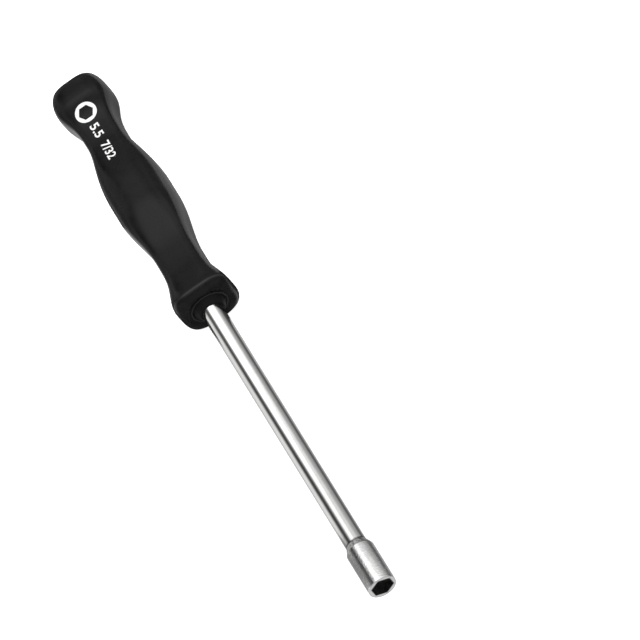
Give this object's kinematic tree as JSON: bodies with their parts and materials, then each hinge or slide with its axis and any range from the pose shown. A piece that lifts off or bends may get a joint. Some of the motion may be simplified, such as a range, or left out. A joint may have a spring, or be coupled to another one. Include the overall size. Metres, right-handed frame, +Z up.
{
  "type": "carburetor adjustment tool",
  "caption": "Hand driver for carburettor mixture screws: contoured black plastic handle, plated steel shaft and a deep hexagon socket at the tip.",
  "frame": {"origin": "on the table plane under the middle of the tool's length, below its axis", "axes": "+X along the shaft from the pommel to the socket mouth, +Z up out of the handle's printed flat, +Y to the left of the handle seen from the pommel"},
  "size_m": [0.185, 0.0168, 0.0167],
  "materials": {
    "grip_plastic": "satin moulded black plastic with a fine spark-eroded grain",
    "core_plastic": "smooth moulded black plastic, seen only as the boss round the shaft",
    "plated_shaft": "bright nickel plate on drawn round steel bar",
    "plated_socket": "bright nickel plate over a faintly pebbled turned surface"
  },
  "bodies": {
    "root": {"handle_grip": "grip_plastic", "handle_core": "core_plastic", "shaft": "plated_shaft", "hex_socket": "plated_socket"}
  },
  "joints": []
}
